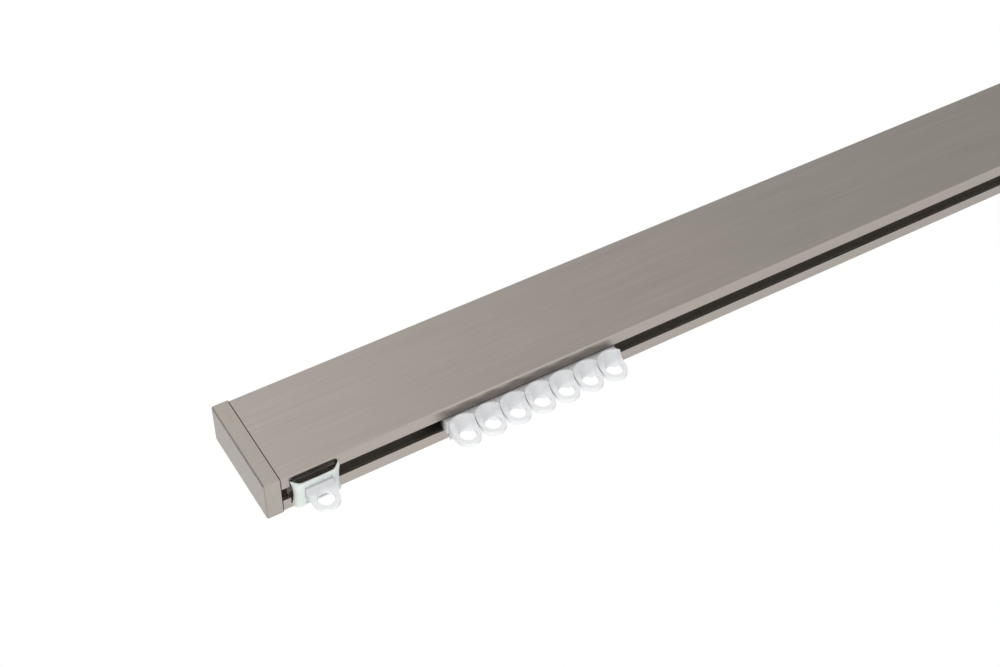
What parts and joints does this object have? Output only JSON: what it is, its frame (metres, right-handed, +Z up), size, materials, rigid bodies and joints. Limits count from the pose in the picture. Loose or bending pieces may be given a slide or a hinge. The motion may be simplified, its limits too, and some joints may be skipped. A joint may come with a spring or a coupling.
{
  "type": "curtain track",
  "caption": "Slim rectangular aluminium curtain track with end caps, white plastic gliders running in its lower slot, and an eyed end stop clipped into a notch near each end",
  "frame": {"origin": "the middle of the top groove's mouth, on the track's top face", "axes": "+X along the track, +Z up with the gliders' slot facing down, -Y out of the wide front face"},
  "size_m": [0.6, 0.0144, 0.0468],
  "materials": {
    "track_metal": "brushed along its length, satin, beige grey",
    "cap_metal": "smooth satin, beige grey",
    "clip_plastic": "smooth, slightly translucent, greenish white",
    "glider_plastic": "smooth, slightly translucent, white"
  },
  "bodies": {
    "track": {"track_profile": "track_metal", "end_cap_left": "cap_metal", "end_cap_right": "cap_metal", "gate_clip_left": "clip_plastic", "gate_clip_right": "clip_plastic", "end_eye_left": "glider_plastic", "end_eye_right": "glider_plastic"},
    "glider_1": {"glider_1": "glider_plastic"},
    "glider_2": {"glider_2": "glider_plastic"},
    "glider_3": {"glider_3": "glider_plastic"},
    "glider_4": {"glider_4": "glider_plastic"},
    "glider_5": {"glider_5": "glider_plastic"},
    "glider_6": {"glider_6": "glider_plastic"},
    "glider_7": {"glider_7": "glider_plastic"}
  },
  "joints": [
    {"name": "glider_1_slide", "type": "slide", "parent": "track", "child": "glider_1", "axis": [1, 0, 0], "range_m": [-0.0342, 0.095]},
    {"name": "glider_2_slide", "type": "slide", "parent": "glider_1", "child": "glider_2", "axis": [1, 0, 0], "range_m": [0, 0.06]},
    {"name": "glider_3_slide", "type": "slide", "parent": "glider_2", "child": "glider_3", "axis": [1, 0, 0], "range_m": [0, 0.06]},
    {"name": "glider_4_slide", "type": "slide", "parent": "glider_3", "child": "glider_4", "axis": [1, 0, 0], "range_m": [0, 0.06]},
    {"name": "glider_5_slide", "type": "slide", "parent": "glider_4", "child": "glider_5", "axis": [1, 0, 0], "range_m": [0, 0.06]},
    {"name": "glider_6_slide", "type": "slide", "parent": "glider_5", "child": "glider_6", "axis": [1, 0, 0], "range_m": [0, 0.06]},
    {"name": "glider_7_slide", "type": "slide", "parent": "glider_6", "child": "glider_7", "axis": [1, 0, 0], "range_m": [0, 0.06]}
  ]
}
